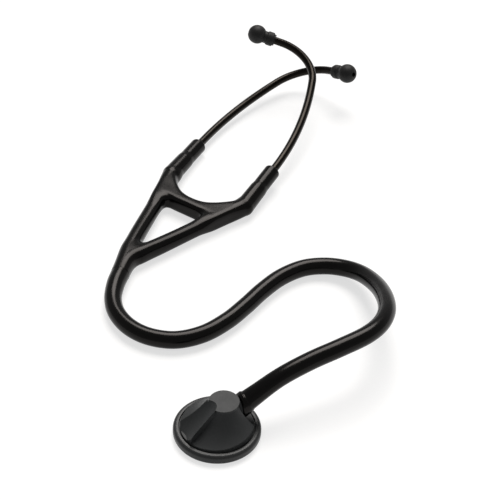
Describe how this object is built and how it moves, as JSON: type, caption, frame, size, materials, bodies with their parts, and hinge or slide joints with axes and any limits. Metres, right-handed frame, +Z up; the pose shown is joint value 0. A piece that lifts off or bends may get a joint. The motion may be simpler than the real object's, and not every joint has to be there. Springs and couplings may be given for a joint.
{
  "type": "stethoscope",
  "caption": "Stethoscope with a flared-hub chestpiece, thick curved hose, forked yoke and sprung, bent ear tubes ending in soft eartips; carries body sounds to the ears.",
  "frame": {"origin": "middle of the listening face, on the plane of the rim's underside that stands on the table", "axes": "+Z up out of the table through the chestpiece's hub; +Y along the headset from the yoke's fork to the eartips; +X to the headset's right arm"},
  "size_m": [0.2404, 0.3602, 0.052],
  "materials": {
    "coated_steel": "satin dark coating over turned and milled steel",
    "bare_steel": "plain bright steel, hidden inside",
    "rim_plastic": "smooth, slightly soft",
    "diaphragm_sheet": "smooth thin sheet",
    "soft_rubber": "matte and soft",
    "hose_rubber": "glossy moulded skin",
    "ear_tube_metal": "dark polished coating",
    "core_plastic": "smooth"
  },
  "bodies": {
    "chestpiece_hose_and_yoke": {"chestpiece_body": "coated_steel", "stem": "bare_steel", "diaphragm_rim": "rim_plastic", "diaphragm_surround": "soft_rubber", "hose": "hose_rubber", "yoke": "hose_rubber", "leaf_spring": "bare_steel"},
    "diaphragm_sheet": {"diaphragm": "diaphragm_sheet"},
    "left_arm": {"left_ear_tube": "ear_tube_metal", "left_spring_clip": "bare_steel"},
    "right_arm": {"right_ear_tube": "ear_tube_metal", "right_spring_clip": "bare_steel"},
    "left_tip": {"left_tip_core": "core_plastic", "left_eartip": "soft_rubber"},
    "right_tip": {"right_tip_core": "core_plastic", "right_eartip": "soft_rubber"}
  },
  "joints": [
    {"name": "left_spread", "type": "hinge", "parent": "chestpiece_hose_and_yoke", "child": "left_arm", "pos_m": [-0.16295, 0.1774, 0.0064], "axis": [0, 0, 1], "range_deg": [-4, 40], "stiffness_Nm_per_rad": 0.5, "deforming": ["yoke", "leaf_spring"]},
    {"name": "right_spread", "type": "hinge", "parent": "chestpiece_hose_and_yoke", "child": "right_arm", "pos_m": [-0.10245, 0.1774, 0.0064], "axis": [0, 0, -1], "range_deg": [-4, 40], "stiffness_Nm_per_rad": 0.5, "deforming": ["yoke", "leaf_spring"]},
    {"name": "left_tip_turn", "type": "hinge", "parent": "left_arm", "child": "left_tip", "pos_m": [-0.11601, 0.32772, 0.02746], "axis": [0.9319, -0.1742, 0.318], "continuous": true},
    {"name": "right_tip_turn", "type": "hinge", "parent": "right_arm", "child": "right_tip", "pos_m": [-0.18258, 0.309, 0.04516], "axis": [-0.8625, -0.4228, 0.278], "continuous": true},
    {"name": "diaphragm_press", "type": "slide", "parent": "chestpiece_hose_and_yoke", "child": "diaphragm_sheet", "axis": [0, 0, 1], "range_m": [0, 0.0003], "stiffness_N_per_m": 4000, "deforming": ["diaphragm_surround"]}
  ],
  "couplings": [
    {"joint": "right_spread", "follows": "left_spread", "ratio": 1}
  ]
}
